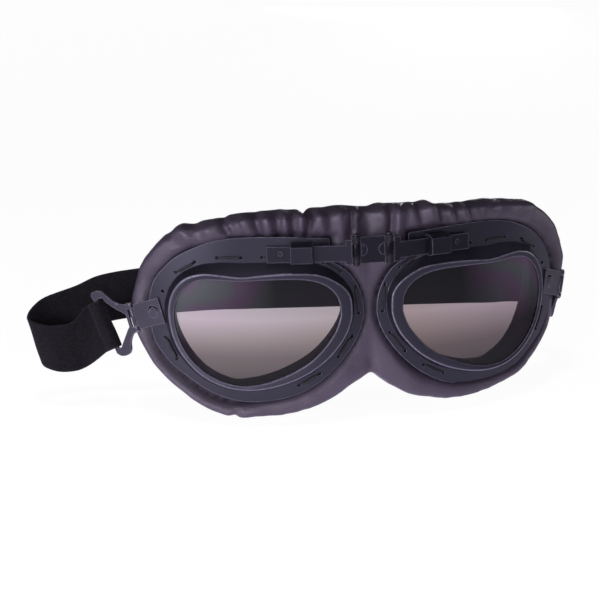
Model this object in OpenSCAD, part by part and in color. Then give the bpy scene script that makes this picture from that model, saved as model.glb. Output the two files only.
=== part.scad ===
// Split-frame riding goggles: two curved metal eye units joined by a hinged
// bridge, a stitched padded face cushion and an elastic head strap.
// Frame: +X to the right as seen from the front, +Y towards the wearer's face,
// +Z up. x = 0 is the nose plane, z = 0 the lens mid-height, y = 0 the foremost
// line of the lens rims. "left" parts lie at -X and "right" parts at +X.

/* [Eye unit] */
// Radius of the cylinder that the front of each lens rim follows
face_r = 109.2; // [104:0.2:120]
// X position of that cylinder's vertical axis, on the right eye
face_ax = 15.7; // [14:0.1:18]
// Height of the rim above the front of the base plate
rim_h = 3; // [2.8:0.1:3.6]
// Thickness of the front lip that covers the lens edge
lip_t = 0.8; // [0.6:0.1:0.9]
// Thickness of the lens
lens_t = 1.6; // [1.4:0.1:1.7]
// Thickness of the base plate sheet
plate_t = 0.8; // [0.6:0.1:0.9]
// Radius of each sewing hole
hole_r = 0.75; // [0.6:0.05:0.9]
// Radius of the sewing thread
thread_r = 0.45; // [0.3:0.05:0.5]

/* [Bridge] */
// Distance of each bridge pin from the nose plane
pin_x = 6.95; // [6.8:0.05:7.2]
// Y of the bridge pins
pin_y = -3.1; // [-3.2:0.05:-3]
// Radius of the bridge pins
pin_r = 0.75; // [0.6:0.05:0.8]
// Outside radius of the bridge knuckles
knuckle_r = 1.5; // [1.45:0.05:1.6]
// Angle by which the flat arms sweep back from the X axis
arm_angle = 14; // [13:0.5:15]
// Thickness of arm, link and side tab sheet
strip_t = 0.8; // [0.7:0.05:0.85]

/* [Side hinge and buckle] */
// Droop of the side tab and its hinge axis, in degrees
droop = 17; // [15:1:18]
// Distance from the plate slot to the hinge axis
tab_len = 15.2; // [15:0.1:15.6]
// Radius of the side hinge pin
side_pin_r = 0.6; // [0.5:0.05:0.65]
// How far the right buckle is folded back at rest, in degrees
right_fold = 40; // [36:1:42]
// Lean of the strap bar against the hinge axis, in degrees
bar_lean = 8.3; // [7:0.1:9]

/* [Cushion] */
// Inset of the foam core from the cover's outside
cover_t = 1.6; // [1.2:0.1:2]
// Radius of the cushion's face side
back_r = 127; // [125:1:130]
// Depth of the cushion at x = face_ax
cushion_d = 17.4; // [16:0.2:19]

/* [Strap] */
// Width of the elastic band
strap_w = 22; // [20:0.5:22.5]
// Thickness of the elastic band
strap_t = 1.3; // [1:0.1:1.5]
// Y of the straight rear run
strap_y = 58; // [57:0.5:62]
// Slope of the straight rear run, in degrees
strap_slope = 3; // [2:0.5:4]

/* [Hidden] */

paint = "#3b3540";
pin_metal = "#57505c";
leather = "#403846";
webbing = "#1d1b20";

// Layers of the eye unit, as radii about its upright axis
axis_y = face_r;
plate_r = face_r - rim_h;          // plate front
back_plate_r = plate_r - plate_t;  // plate back
lens_r = face_r - lip_t;           // lens front
gasket_r = lens_r - lens_t;        // lens back
foot_h = 1;                        // height of the rim's wider foot

cut_front = -6;  // y ahead of every part of the eye unit
half_strip = strip_t / 2;

// --- Curves and outlines ---

// Point on a Catmull-Rom curve between b and c
function spline(a, b, c, d, t) = 0.5 * ((2 * b) + (c - a) * t
  + (2 * a - 5 * b + 4 * c - d) * t * t + (3 * b - a - 3 * c + d) * t * t * t);
// Closed smooth curve through the control points
function closed(points, steps) = let (count = len(points))
  [for (i = [0 : count - 1]) for (k = [0 : steps - 1])
    spline(points[(i + count - 1) % count], points[i],
      points[(i + 1) % count], points[(i + 2) % count], k / steps)];
// Open smooth curve through the control points
function open(points, steps) = let (last = len(points) - 1)
  concat([for (i = [0 : last - 1]) for (k = [0 : steps - 1])
    spline(points[max(i - 1, 0)], points[i],
      points[i + 1], points[min(i + 2, last)], k / steps)], [points[last]]);
function unit(v) = v / norm(v);
// Clockwise outline moved outwards
function grow(outline, distance) = let (count = len(outline))
  [for (i = [0 : count - 1])
    let (v = outline[(i + 1) % count] - outline[(i + count - 1) % count])
      outline[i] + distance * [-v[1], v[0]] / norm(v)];
// y of a cylinder of radius r about the eye unit's axis, at x
function surf(x, r) = axis_y - sqrt(r * r - pow(x - face_ax, 2));

// Outlines of the right eye are [x, z], clockwise as seen from the front.
// Rim's outer edge
rim_out = closed([[8.3, 2], [9.2, 8.5], [13.6, 13.7], [22, 18], [33, 19.1], [45, 18.7],
  [54, 17.9], [62, 18.7], [69, 19], [76, 16.5], [81.2, 9.8], [83, 0], [80.6, -12.6],
  [74, -22.7], [65, -28.8], [54, -31.1], [42, -29.7], [30, -25.5], [20, -19.1],
  [12.5, -10.8], [9, -3.4]], 3);
// Rim's inner edge
rim_in = closed([[13.4, 2], [14.9, 8.3], [19.6, 13.2], [28, 16], [41, 16.5], [55, 16],
  [66, 16.4], [72.6, 15], [78.3, 9], [80.7, 0], [79.2, -9.7], [75, -18.1], [68, -24.7],
  [58, -28.7], [47, -28], [34.5, -23.4], [25, -17.6], [17.6, -9.4], [14.3, -3]], 3);
// Foot of the rim where it meets the plate
rim_foot = closed([[7, 2], [7.8, 9], [11.8, 15.4], [20.5, 21.6], [33, 23.6], [45, 23.6],
  [54, 23.4], [62, 23.4], [69.5, 22], [77, 17.8], [82.2, 10.4], [84.1, 0], [81.6, -13.2],
  [74.8, -23.7], [65.4, -29.9], [54, -32.2], [41.8, -30.8], [29.4, -26.6], [19.2, -20],
  [11.5, -11.4], [7.8, -3.8]], 3);
// Base plate with its raised wing; a straight edge joins the last point to the first
plate_out = open([[16.7, 32.7], [24, 33.1], [33, 33.8], [45, 34.2], [56, 33.7], [64, 32.2],
  [71, 29.4], [78, 25.3], [84, 19.4], [88, 13], [90, 5], [90, -4], [88.4, -13],
  [83.2, -21.2], [75, -28], [66, -33.7], [55, -36.7], [44, -36.4], [33, -34.2],
  [23, -29.2], [14.2, -21.8], [7.6, -13.4], [3.9, -6], [2.7, 1], [4.3, 9.6],
  [9.2, 17.8], [16.7, 23]], 3);
// Outside of the face cushion, carried past the nose plane
pad_out = open([[-32, 42.4], [-8, 43.4], [0, 42.2], [8, 43.4], [20, 42.8], [34, 42],
  [48, 42.4], [59, 41.6], [69, 39.6], [78, 36], [86, 29], [91.4, 21], [94, 12], [95, 3],
  [94.2, -7], [90, -17], [83.5, -25.6], [75, -33], [65, -39.4], [53, -43.8], [42, -45.2],
  [30, -43.4], [19, -39.8], [10, -34.6], [3.6, -30.6], [0, -29.6], [-8, -33], [-32, -43]], 3);
lens_out = grow(rim_in, 1.2);     // edge of lens and gasket
opening_out = grow(rim_in, 0.4);  // opening through gasket and plate

// Sewn hole pairs, [x, z] to [x, z]
pairs = [[[35.9, 25.4], [44.6, 25.6]], [[52.8, 25.6], [62.4, 25.4]],
  [[71.3, 23.3], [78.8, 18.3]], [[84.2, -10.6], [80.3, -19.6]],
  [[6.3, 11.4], [5.2, -0.2]], [[8.1, -9.9], [14.4, -18.3]],
  [[22.6, -25.1], [31.4, -29.7]], [[12.6, 18.2], [19.6, 22.6]]];
// Holes without thread, [x, z]
spare_holes = [[27.5, 25], [84.4, 9.6]];

// --- Shared shapes ---

// Parts are modelled on the right; side is 1 for right, -1 for left
module mirrored(side) {
  if (side < 0) mirror([1, 0, 0]) children();
  else children();
}
// Upright cylinder with its middle at height z
module rod(h, r, z = 0, facets = 40)
  translate([0, 0, z - h / 2]) cylinder(r = r, h = h, $fn = facets);
// Box from x and y, with its middle at height z
module slab(x, y, size, z = 0) translate([x, y, z - size[2] / 2]) cube(size);
// Prism of an [x, z] outline between two y values
module prism(outline, front, back)
  translate([0, back, 0]) rotate([90, 0, 0]) linear_extrude(back - front) polygon(outline);
// Prism through the whole depth of the eye unit
module through(outline) prism(outline, cut_front, 46);
// Tall cylinder on the eye unit's centre plane
module column(y, r) translate([face_ax, y, 0]) rod(120, r, facets = 180);
module drum(r) column(axis_y, r);
// Outline cut to the layer between two radii
module layer(outline, inner_r, outer_r) difference() {
  intersection() {
    through(outline);
    drum(outer_r);
  }
  drum(inner_r);
}

// --- Bridge ---

bridge_z = 28;          // mid-height of the hinges
link_half_w = 5.2;
link_h = 11.2;
link_ear_x = 5.1;       // where the link narrows to its knuckle
link_knuckle_h = 5.8;
arm_knuckle_h = 2.7;
arm_knuckle_z = 4.4;    // knuckle's middle, above and below bridge_z
arm_z = 27;             // mid-height of the flat arm
clip_w = 9.2;
// Section of the slide clip, [y, z] in the arm's frame
clip_section = [[-3.6, 23.7], [-3.6, 30.5], [-0.6, 31.8], [6.5, 31.8], [6.5, 22.9], [-1, 22.9]];

module bridge_frame() translate([0, pin_y, bridge_z]) children();
// Cylinder on the bridge pin's axis
module pin_rod(h, r, z = 0)
  bridge_frame() translate([pin_x, 0, 0]) rod(h, r, z, facets = 48);
module arm_frame() translate([28.8, 1.2, 0]) rotate([0, 0, arm_angle]) children();

module bridge_link() color(paint) difference() {
  union() {
    bridge_frame() translate([-link_half_w, -half_strip, -5.7])
      cube([2 * link_half_w, strip_t, link_h]);
    for (side = [-1, 1]) mirrored(side) {
      bridge_frame()
        slab(link_ear_x, -half_strip, [pin_x - link_ear_x, strip_t, link_knuckle_h]);
      pin_rod(link_knuckle_h, knuckle_r);
      // raised half-moon beside each hinge
      bridge_frame() intersection() {
        translate([4.9, -half_strip, 0]) rotate([90, 0, 0]) cylinder(r = 2.5, h = 0.3, $fn = 48);
        slab(2, -2, [2.9, 4, 8]);
      }
    }
  }
  for (side = [-1, 1]) mirrored(side) pin_rod(16, pin_r);
}
module bridge_pin(side) color(pin_metal) mirrored(side) union() {
  pin_rod(12, pin_r);
  for (z = [-6.25, 6.25]) pin_rod(0.7, 1.15, z);
}
module bridge_arm(side) color(paint) mirrored(side) difference() {
  union() {
    for (z = [-arm_knuckle_z, arm_knuckle_z]) {
      pin_rod(arm_knuckle_h, knuckle_r, z);
      bridge_frame() slab(pin_x, -0.9, [2, strip_t, arm_knuckle_h], z);
    }
    arm_frame() {
      // tall end beside the knuckles, then the flat arm and its small stud
      translate([-20.6, -half_strip, 22.25]) cube([2.8, strip_t, 10.4]);
      slab(-18, -half_strip, [32.6, strip_t, 6.8], arm_z);
      translate([9, -0.3, 27.4]) rotate([90, 0, 0]) cylinder(r = 0.9, h = 0.6, $fn = 32);
    }
  }
  pin_rod(16, pin_r + 0.05);
  // room for the link's knuckle
  pin_rod(link_knuckle_h + 0.3, knuckle_r + 0.3);
}
// Box with sloping top and bottom, open along the arm
module slide_clip(side) color(paint) mirrored(side) difference() {
  arm_frame() translate([-clip_w / 2, 0, 0]) rotate([90, 0, 90])
    linear_extrude(clip_w) polygon(clip_section);
  arm_frame() slab(-6, -0.5, [12, 12, 7], arm_z);
  drum(plate_r);
}

// --- Side hinge frames ---

slot_x = 85.2;    // plate slot that holds the tab
slot_z = 1.1;
tab_w = 11.2;
hinge_y = -0.6;   // hinge axis, in the tab's frame
barrel_h = 8;     // tab's part of the hinge

// Side tab's frame: +X outwards, +Y to the face, +Z along the hinge
module tab_frame() {
  turn = asin((slot_x - face_ax) / plate_r);
  translate([slot_x, surf(slot_x, plate_r), slot_z])
    rotate([0, 0, turn]) rotate([0, droop, 0]) children();
}
module at_hinge() translate([tab_len, hinge_y, 0]) children();
// Frame of a buckle at rest: only the right one is folded back
module buckle_frame(side)
  tab_frame() at_hinge() rotate([0, 0, side > 0 ? right_fold : 0]) children();

// --- Eye unit ---

module stitch_holes() for (p = concat([for (pair = pairs) each pair], spare_holes))
  translate([p[0], 60, p[1]]) rotate([90, 0, 0]) cylinder(r = hole_r, h = 70, $fn = 24);
module base_plate(side) color(paint) mirrored(side) difference() {
  layer(plate_out, back_plate_r, plate_r);
  through(opening_out);
  stitch_holes();
  tab_frame() slab(-0.7, -3, [1.4, 6, tab_w + 0.6]);
}
module lens_rim(side) color(paint) mirrored(side) difference() {
  union() {
    layer(rim_out, plate_r, face_r);
    layer(rim_foot, plate_r, plate_r + foot_h);
  }
  through(rim_in);
  // wider seat for the lens, behind the lip
  difference() {
    through(grow(rim_in, 1.3));
    difference() {
      drum(face_r + 5);
      drum(lens_r);
    }
  }
  stitch_holes();
  // room for the side tab
  tab_frame() slab(-1.2, -3, [16, 4, tab_w + 1]);
  // seat of the slide clip
  arm_frame() translate([-clip_w / 2 - 0.2, -1.6, 22.75]) cube([clip_w + 0.4, 9, 9.2]);
}
module lens(side) color([0.55, 0.5, 0.53, 0.4]) mirrored(side)
  layer(lens_out, gasket_r, lens_r);
module lens_gasket(side) color("#151417") mirrored(side) difference() {
  layer(lens_out, plate_r, gasket_r);
  through(opening_out);
}

// --- Side hinge and buckle ---

// Buckle outlines, [x, z] from the hinge axis
buckle_out = closed([[0, 5.9], [2.6, 6.4], [6, 7.5], [8.8, 9.6], [11.2, 12.4], [13.2, 14.6],
  [16, 15.2], [18.6, 14.8], [19.4, 13], [18.3, 10.5], [15, -11.5], [14.4, -13.6],
  [12.8, -15], [10, -15.4], [7.6, -14.8], [6.2, -13], [5.6, -10.6], [3.8, -8],
  [1.8, -6.5], [0, -5.9]], 2);
buckle_window = [[3.6, 2.2], [8.2, 5.5], [12.2, 9.2], [13.4, 11.6], [16.32, 11.6],
  [12.96, -11.4], [11.2, -11.4], [9.8, -9.8], [5.2, -4.9], [3.6, -3.4]];

module side_tab(side) color(paint) mirrored(side) tab_frame() difference() {
  union() {
    slab(-half_strip, hinge_y - half_strip, [tab_len - half_strip, strip_t, tab_w]);
    // lip bent back into the plate slot
    slab(-half_strip, hinge_y - half_strip, [strip_t, 1.7, tab_w]);
    at_hinge() rod(barrel_h, 1.2);
    // round boss on the front
    translate([4.1, -0.9, -0.4]) rotate([90, 0, 0])
      cylinder(r1 = 2.3, r2 = 1.7, h = 0.6, $fn = 40);
  }
  // crescent cut through sheet and boss
  translate([3.8, 0, 0.4]) rotate([90, 0, 0]) difference() {
    cylinder(r = 2.7, h = 4, $fn = 40);
    translate([0.35, -0.75, -1]) cylinder(r = 2.5, h = 6, $fn = 40);
    translate([-4, -4.6, -1]) cube([8, 4.1, 6]);
  }
  at_hinge() rod(16, side_pin_r);
  // room for the buckle's knuckles
  for (z = [-1, 1]) slab(tab_len - 1.7, -3, [6, 6, 5], z * (barrel_h + 5) / 2);
}
module hinge_pin(side) color(pin_metal) mirrored(side) tab_frame() at_hinge() union() {
  rod(12.4, side_pin_r);
  for (z = [-6.325, 6.325]) rod(0.55, 0.95, z);
}
module buckle(side) color(paint) mirrored(side) buckle_frame(side) difference() {
  union() {
    prism(buckle_out, -0.5, 0.5);
    for (z = [-5.05, 5.05]) rod(1.8, 1.15, z);
  }
  // room for the tab's barrel
  slab(-3, -3, [5.2, 6, barrel_h + 0.2]);
  prism(buckle_window, -3, 3);
  rod(16, side_pin_r + 0.05);
  // room for the pin's heads
  for (z = [-6.785, 6.785]) rod(1.63, 1.25, z);
}

// --- Cushion: its front follows the plate's back, its face side a flatter curve ---

lining_t = 1.1;
cushion_gap = 0.1;  // between cover, foam and lining

// Space behind the cushion, brought forward by trim
module face_side(trim) column(axis_y - back_plate_r + cushion_d + back_r - trim, back_r);
// Space for the nose, between the two cushions
module nose_vee(inset) translate([0, 0, -60]) linear_extrude(120)
  polygon([[-60, -8], [2.5 + inset, -8], [2.5 + inset, 4],
    [5.6 + inset, 26], [5.6 + inset, 80], [-60, 80]]);
module pad(inset, front_r, trim) difference() {
  intersection() {
    prism(grow(pad_out, -inset), cut_front, 60);
    drum(front_r);
  }
  prism(grow(rim_in, 1 + inset), cut_front, 70);
  face_side(trim);
  nose_vee(inset);
}
// Shell, open towards the face
module cushion_cover(side) color(leather) mirrored(side) difference() {
  pad(inset = 0, front_r = back_plate_r, trim = lining_t + cushion_gap);
  pad(inset = cover_t, front_r = back_plate_r - cover_t, trim = -6);
}
module cushion_foam(side) color("#8a857c") mirrored(side)
  pad(inset = cover_t + cushion_gap, front_r = back_plate_r - cover_t - cushion_gap, trim = 1.4);
// Sheet over the face side
module cushion_lining(side) color("#26232a") mirrored(side) difference() {
  pad(inset = 0, front_r = back_plate_r, trim = 0);
  translate([0, -lining_t, 0]) difference() {
    translate([-60, -60, -80]) cube([260, 200, 160]);
    face_side(trim = 0);
  }
}

// --- Stitching ---

// Thread centre in front of the plate, over the hole at [x, z]
function over_hole(p) = [p[0], surf(p[0], plate_r + 0.72), p[1]];
module strand(start, end, r) {
  v = end - start;
  length = norm(v);
  translate(start) rotate([0, acos(v[2] / length), atan2(v[1], v[0])])
    cylinder(r = r, h = length, $fn = 16);
}
// Thread over the front of each pair of holes, with a leg towards each hole
module stitching(side) color("#55505a") mirrored(side) for (pair = pairs)
  let (start = over_hole(pair[0]), end = over_hole(pair[1]), overrun = 0.4 * unit(end - start))
    union() {
      strand(start - overrun, end + overrun, thread_r);
      for (top = [start, end]) strand(top, top + [0, 1.2, 0], thread_r * 0.8);
    }

// --- Strap ---

fold_r = 1.3;  // inside radius of the band's fold round the buckle's bar

// Station of the straight rear run at x
function rear(x) = [x, strap_y, -x * tan(strap_slope), sin(strap_slope), 0, cos(strap_slope)];
// Stations of the curved runs: centre x, y, z, then the width's direction x, y, z
left_run = [[-119.6, 53.4, -17.2, -4.8, 0, 22], [-125.3, 54.2, -19.1, -3.9, 0, 22],
  [-132.9, 57, -19.2, -4, 0, 22], [-139.2, 63.5, -16.6, -5.1, 0, 21.7],
  [-131.9, 70, -10.3, -7, 0, 20.4], [-117.6, 69, -5.4, -4.8, 0, 21.3],
  [-107.9, 66.3, -0.9, -1.7, 0, 21.6], [-92, 62, 1.8, -0.6, 0, 21.9],
  [-73.2, 58.8, 3, 0.9, 0, 22], rear(-58)];
right_run = [rear(58), [70, 60.4, -4.4, 0.9, 0, 22], [82, 65.6, -6, 1, 0, 22],
  [91, 70, -8, 2, 0, 22], [97.4, 71.6, -9.4, 4, 0, 21.5],
  [100.4, 69.2, -10, 6, 1, 20.5], [100.6, 65.6, -9.6, 7, 2, 20]];

// Flat band swept smoothly through the stations
module band(stations) color(webbing) {
  path = open(stations, 4);
  last = len(path) - 1;
  mid = [for (p = path) [p[0], p[1], p[2]]];
  half = [for (p = path) unit([p[3], p[4], p[5]]) * strap_w / 2];
  skin = [for (i = [0 : last])
    unit(cross(unit(mid[min(i + 1, last)] - mid[max(i - 1, 0)]), half[i])) * strap_t / 2];
  corners = [for (i = [0 : last]) each [mid[i] + half[i] + skin[i], mid[i] + half[i] - skin[i],
    mid[i] - half[i] - skin[i], mid[i] - half[i] + skin[i]]];
  sides = [for (i = [0 : last - 1]) for (k = [0 : 3])
    let (a = 4 * i + k, b = 4 * i + (k + 1) % 4) each [[a, a + 4, b + 4], [a, b + 4, b]]];
  end = 4 * last;
  polyhedron(corners, concat([[0, 1, 2, 3]], sides, [[end + 3, end + 2, end + 1, end]]),
    convexity = 6);
}
module rear_frame() translate([0, strap_y, 0]) rotate([0, strap_slope, 0]) children();
module strap_band() color(webbing) rear_frame() slab(-46, -strap_t / 2, [92, strap_t, strap_w]);
module left_strap_run() band(left_run);
module right_strap_run() band(right_run);
// Band folded round the buckle's bar
module strap_end(side) color(webbing) mirrored(side) buckle_frame(side)
  translate([15.75, 0, -0.15]) rotate([0, bar_lean, 0]) difference() {
    union() {
      rod(strap_w, fold_r + strap_t, facets = 48);
      slab(0, -fold_r - strap_t, [5.6, 2 * (fold_r + strap_t), strap_w]);
    }
    rod(strap_w + 2, fold_r, facets = 48);
    slab(0, -fold_r, [9, 2 * fold_r, strap_w + 2]);
  }
// Three-bar slide on the rear run
module strap_adjuster() color("#2b2930") rear_frame() translate([10, 0, 0]) union() {
  bar_h = strap_w + 4;
  for (z = [-1, 1]) slab(-6.5, -1.7, [13, 3.4, 1.9], z * (strap_w / 2 + 1.35));
  for (x = [-6.5, 4.5]) slab(x, -1.7, [2, 0.9, bar_h]);
  slab(-1.2, 0.8, [2.4, 0.9, bar_h]);
}

bridge_link();
bridge_pin(-1);  // left_bridge_pin
bridge_pin(1);  // right_bridge_pin
bridge_arm(-1);  // left_bridge_arm
bridge_arm(1);  // right_bridge_arm
slide_clip(-1);  // left_slide_clip
slide_clip(1);  // right_slide_clip
base_plate(-1);  // left_base_plate
base_plate(1);  // right_base_plate
lens_rim(-1);  // left_lens_rim
lens_rim(1);  // right_lens_rim
lens(-1);  // left_lens
lens(1);  // right_lens
lens_gasket(-1);  // left_lens_gasket
lens_gasket(1);  // right_lens_gasket
side_tab(-1);  // left_side_tab
side_tab(1);  // right_side_tab
hinge_pin(-1);  // left_hinge_pin
hinge_pin(1);  // right_hinge_pin
buckle(-1);  // left_buckle
buckle(1);  // right_buckle
cushion_cover(-1);  // left_cushion_cover
cushion_cover(1);  // right_cushion_cover
cushion_foam(-1);  // left_cushion_foam
cushion_foam(1);  // right_cushion_foam
cushion_lining(-1);  // left_cushion_lining
cushion_lining(1);  // right_cushion_lining
stitching(-1);  // left_stitching
stitching(1);  // right_stitching
strap_band();
left_strap_run();
right_strap_run();
strap_end(-1);  // left_strap_end
strap_end(1);  // right_strap_end
strap_adjuster();
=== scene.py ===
"""Folding goggles: two lens frames joined at the nose by a hinged bridge, with a padded
face cushion behind them and an elastic strap.

The lenses look along -Y, the wearer's face is towards +Y and +Z is up. "left" is -X and
"right" is +X. Shapes are worked out in mm and turned into metres when a mesh is made;
shader, camera and light numbers are in metres.
"""
import bpy
import bmesh
import math
import numpy as np
from mathutils import Matrix, Vector
from mathutils.geometry import delaunay_2d_cdt


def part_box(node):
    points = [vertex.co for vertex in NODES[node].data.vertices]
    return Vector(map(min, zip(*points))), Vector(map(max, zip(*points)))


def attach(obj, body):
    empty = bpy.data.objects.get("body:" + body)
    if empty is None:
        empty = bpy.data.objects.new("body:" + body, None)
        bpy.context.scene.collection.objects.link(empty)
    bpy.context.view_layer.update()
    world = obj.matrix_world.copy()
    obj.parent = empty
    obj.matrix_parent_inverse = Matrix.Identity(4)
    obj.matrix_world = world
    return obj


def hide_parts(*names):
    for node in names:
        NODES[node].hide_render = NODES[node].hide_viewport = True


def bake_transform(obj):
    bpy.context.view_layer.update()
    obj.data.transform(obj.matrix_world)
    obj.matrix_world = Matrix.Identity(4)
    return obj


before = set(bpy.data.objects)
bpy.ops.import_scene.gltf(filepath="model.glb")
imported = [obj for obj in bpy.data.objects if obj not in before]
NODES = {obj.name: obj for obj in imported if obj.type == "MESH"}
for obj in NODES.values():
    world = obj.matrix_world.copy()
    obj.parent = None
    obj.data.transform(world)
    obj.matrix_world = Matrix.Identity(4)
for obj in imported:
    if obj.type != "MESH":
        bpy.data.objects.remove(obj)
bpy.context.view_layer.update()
SIDES = ((-1, "left"), (1, "right"))

# ------------------------------------------------------------------ driving dimensions (mm)
FACE_R = 109.2               # radius of the rim's front, curved across each eye
ARC_X, ARC_Y = 15.7, FACE_R  # centre of that curve; x is mirrored for the left eye
RIM_H = 3.0                  # rim height in front of the plate
LIP = .8                     # step from the rim's front down to the lens ledge
PLATE_T = .8
PLATE_R = FACE_R - RIM_H     # front of the base plate
BACK_R = PLATE_R - PLATE_T   # back of the base plate

# side hinge
SLOT_X, SLOT_Z = 85.2, 1.1   # centre of the slot in the plate that takes the side tab
DROOP = 17.                  # tab's slope below level, degrees
TAB_L = 15.2
RIGHT_FOLD = 40.             # how far the right buckle is folded back, degrees
BAR_LEAN = 8.3               # lean of the buckle bar, degrees

# strap
STRAP_HALF = 11.0
STRAP_T = 1.3

# face cushion
CUSHION_T = 18.0
VOXEL = 1.3


# ------------------------------------------------------------------ curves
def catmull_rom(a, b, c, d, t):
    return .5 * ((2 * b) + (c - a) * t + (2 * a - 5 * b + 4 * c - d) * t * t
                 + (3 * b - a - 3 * c + d) * t ** 3)


def smooth_loop(points, steps=12):
    P = np.array(points, float)
    n = len(P)
    return np.array([catmull_rom(P[i - 1], P[i], P[(i + 1) % n], P[(i + 2) % n], k / steps)
                     for i in range(n) for k in range(steps)])


def smooth_line(points, steps=12):
    P = np.array(points, float)
    n = len(P)
    curve = [catmull_rom(P[max(i - 1, 0)], P[i], P[i + 1], P[min(i + 2, n - 1)], k / steps)
             for i in range(n - 1) for k in range(steps)]
    return np.array(curve + [P[-1]])


def lengths_along(curve):
    return np.concatenate([[0], np.cumsum(np.linalg.norm(np.diff(curve, axis=0), axis=1))])


def resample(curve, count, loop=True):
    """The same curve with count points at even steps."""
    curve = np.asarray(curve, float)
    if loop:
        curve = np.vstack([curve, curve[:1]])
    along = lengths_along(curve)
    places = np.linspace(0, along[-1], count + 1)[:-1] if loop \
        else np.linspace(0, along[-1], count)
    return np.stack([np.interp(places, along, column) for column in curve.T], 1)


def unit_rows(vectors):
    return vectors / np.linalg.norm(vectors, axis=1)[:, None]


def outward(curve):
    """Outward normals of an outline that runs clockwise seen from the front."""
    tangent = unit_rows(np.roll(curve, -1, 0) - np.roll(curve, 1, 0))
    return np.stack([-tangent[:, 1], tangent[:, 0]], 1)


def grow(curve, distance):
    return curve + outward(curve) * distance


def blur(values, width):
    """Gaussian blur of values that run round a loop."""
    offsets = np.arange(-math.ceil(3 * width), math.ceil(3 * width) + 1)
    weights = np.exp(-.5 * (offsets / width) ** 2)
    weights /= weights.sum()
    count = len(values)
    return np.array([(weights * values[(i + offsets) % count]).sum() for i in range(count)])


def blur_rows(rows, width):
    return np.stack([blur(rows[:, 0], width), blur(rows[:, 1], width)], 1)


def arc_y(x, radius):
    """Depth of a curved surface of the goggles at x."""
    return ARC_Y - np.sqrt(np.maximum(radius * radius - (np.asarray(x, float) - ARC_X) ** 2, 1.0))


def on_arc(side, x, z, radius):
    return (side * x, float(arc_y(x, radius)), z)


def nearest_on(points, loop):
    """For each point: distance to the loop, nearest segment, and share of the way along it."""
    edges = np.roll(loop, -1, 0) - loop
    squared = (edges ** 2).sum(1)
    best = np.full(len(points), 1e9)
    index = np.zeros(len(points), int)
    share = np.zeros(len(points))
    for i, (start, edge) in enumerate(zip(loop, edges)):
        t = np.clip(((points - start) @ edge) / squared[i], 0, 1)
        distance = np.linalg.norm(points - start - t[:, None] * edge, axis=1)
        closer = distance < best
        best[closer] = distance[closer]
        index[closer] = i
        share[closer] = t[closer]
    return best, index, share


def inside(points, loop):
    x, y = points[:, 0], points[:, 1]
    result = np.zeros(len(points), bool)
    for (x0, y0), (x1, y1) in zip(loop, np.roll(loop, -1, 0)):
        if y0 != y1:
            result ^= ((y0 > y) != (y1 > y)) & (x < (x1 - x0) * (y - y0) / (y1 - y0) + x0)
    return result


def smoothstep(x, low, high):
    t = np.clip((x - low) / (high - low), 0, 1)
    return t * t * (3 - 2 * t)


def bell(x, width, centre=0):
    return np.exp(-((x - centre) / width) ** 2)


# ------------------------------------------------------------------ outlines
# Columns are x, z in mm for the right half, clockwise seen from the front.
RIM_OUTER = smooth_loop([
    [8.3, 2], [9.2, 8.5], [13.6, 13.7], [22, 18], [33, 19.1], [45, 18.7], [54, 17.9],
    [62, 18.7], [69, 19], [76, 16.5], [81.2, 9.8], [83, 0], [80.6, -12.6], [74, -22.7],
    [65, -28.8], [54, -31.1], [42, -29.7], [30, -25.5], [20, -19.1], [12.5, -10.8], [9, -3.4]])
RIM_INNER = smooth_loop([
    [13.4, 2], [14.9, 8.3], [19.6, 13.2], [28, 16], [41, 16.5], [55, 16], [66, 16.4],
    [72.6, 15], [78.3, 9], [80.7, 0], [79.2, -9.7], [75, -18.1], [68, -24.7], [58, -28.7],
    [47, -28], [34.5, -23.4], [25, -17.6], [17.6, -9.4], [14.3, -3]])
# where the rim's flank meets the plate
RIM_FOOT = smooth_loop([
    [7, 2], [7.8, 9], [11.8, 15.4], [20.5, 21.6], [33, 23.6], [45, 23.6], [54, 23.4],
    [62, 23.4], [69.5, 22], [77, 17.8], [82.2, 10.4], [84.1, 0], [81.6, -13.2],
    [74.8, -23.7], [65.4, -29.9], [54, -32.2], [41.8, -30.8], [29.4, -26.6], [19.2, -20],
    [11.5, -11.4], [7.8, -3.8]])
# closed by a straight side at x = 16.7
PLATE_EDGE = smooth_line([
    [16.7, 32.7], [24, 33.1], [33, 33.8], [45, 34.2], [56, 33.7], [64, 32.2], [71, 29.4],
    [78, 25.3], [84, 19.4], [88, 13], [90, 5], [90, -4], [88.4, -13], [83.2, -21.2],
    [75, -28], [66, -33.7], [55, -36.7], [44, -36.4], [33, -34.2], [23, -29.2],
    [14.2, -21.8], [7.6, -13.4], [3.9, -6], [2.7, 1], [4.3, 9.6], [9.2, 17.8], [16.7, 23]], 6)
# runs past x = 0 at both ends so that the curve is level there
CUSHION_EDGE = smooth_line([
    [-32, 42.4], [-8, 43.4], [0, 42.2], [8, 43.4], [20, 42.8], [34, 42], [48, 42.4],
    [59, 41.6], [69, 39.6], [78, 36], [86, 29], [91.4, 21], [94, 12], [95, 3], [94.2, -7],
    [90, -17], [83.5, -25.6], [75, -33], [65, -39.4], [53, -43.8], [42, -45.2],
    [30, -43.4], [19, -39.8], [10, -34.6], [3.6, -30.6], [0, -29.6], [-8, -33],
    [-32, -43]], 16)
# the two thread holes of each stitch
STITCHES = [
    [[35.9, 25.4], [44.6, 25.6]], [[52.8, 25.6], [62.4, 25.4]], [[71.3, 23.3], [78.8, 18.3]],
    [[84.2, -10.6], [80.3, -19.6]], [[6.3, 11.4], [5.2, -0.2]], [[8.1, -9.9], [14.4, -18.3]],
    [[22.6, -25.1], [31.4, -29.7]], [[12.6, 18.2], [19.6, 22.6]]]


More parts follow.
